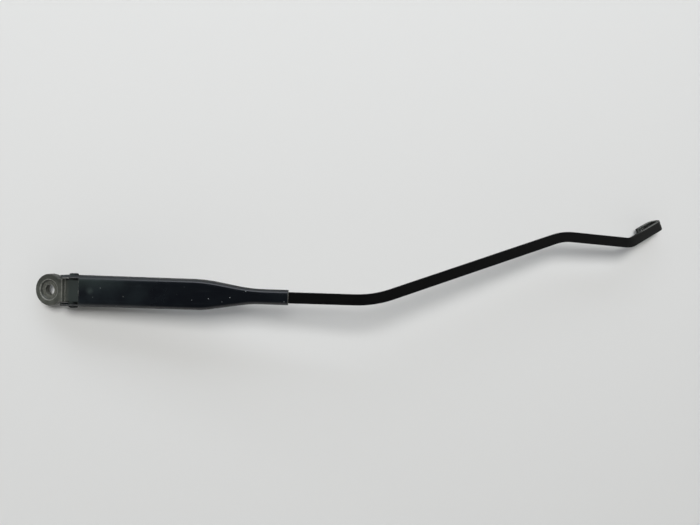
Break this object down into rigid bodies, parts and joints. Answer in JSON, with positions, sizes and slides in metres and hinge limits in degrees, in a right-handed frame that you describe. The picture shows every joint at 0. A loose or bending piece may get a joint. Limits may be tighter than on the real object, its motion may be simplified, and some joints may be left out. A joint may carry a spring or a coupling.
{
  "type": "windscreen wiper arm",
  "caption": "Windscreen wiper arm: round spindle head, hinged sheet-steel channel over its return spring, and a cranked flat bar ending in a hook for the blade.",
  "frame": {"origin": "on the spindle axis, in the plane where the head seats", "axes": "+X along the channel towards the hook, +Z out of the channel's web, away from the glass, +Y across the arm; the head leans back by 16 degrees about Y in this free position"},
  "size_m": [0.5522, 0.0918, 0.0937],
  "materials": {
    "channel_paint": "semi-gloss black paint with a blue-green cast, dusty and finely scratched",
    "bar_paint": "matt black paint, worn grey along the edges of the hook",
    "head_paint": "worn dark grey-green paint on a casting",
    "rivet_paint": "painted over with the channel",
    "link_steel": "dull plated steel",
    "spring_steel": "dark oiled spring wire"
  },
  "bodies": {
    "head": {"arm_head": "head_paint", "anchor_pin": "link_steel"},
    "arm": {"arm_channel": "channel_paint", "arm_bar": "bar_paint", "hinge_pin": "rivet_paint", "return_spring": "spring_steel"},
    "link": {"spring_link": "link_steel"}
  },
  "joints": [
    {"name": "arm_lift", "type": "hinge", "parent": "head", "child": "arm", "pos_m": [0.01793, 0, 0.00494], "axis": [0, -1, 0], "range_deg": [0, 60], "stiffness_Nm_per_rad": 0.6, "springref_deg": -28.65, "deforming": ["return_spring"]},
    {"name": "link_swing", "type": "hinge", "parent": "head", "child": "link", "pos_m": [0.01712, 0, -0.0031], "axis": [0, -1, 0], "range_deg": [0, 60]}
  ],
  "couplings": [
    {"joint": "link_swing", "follows": "arm_lift", "ratio": 1}
  ]
}
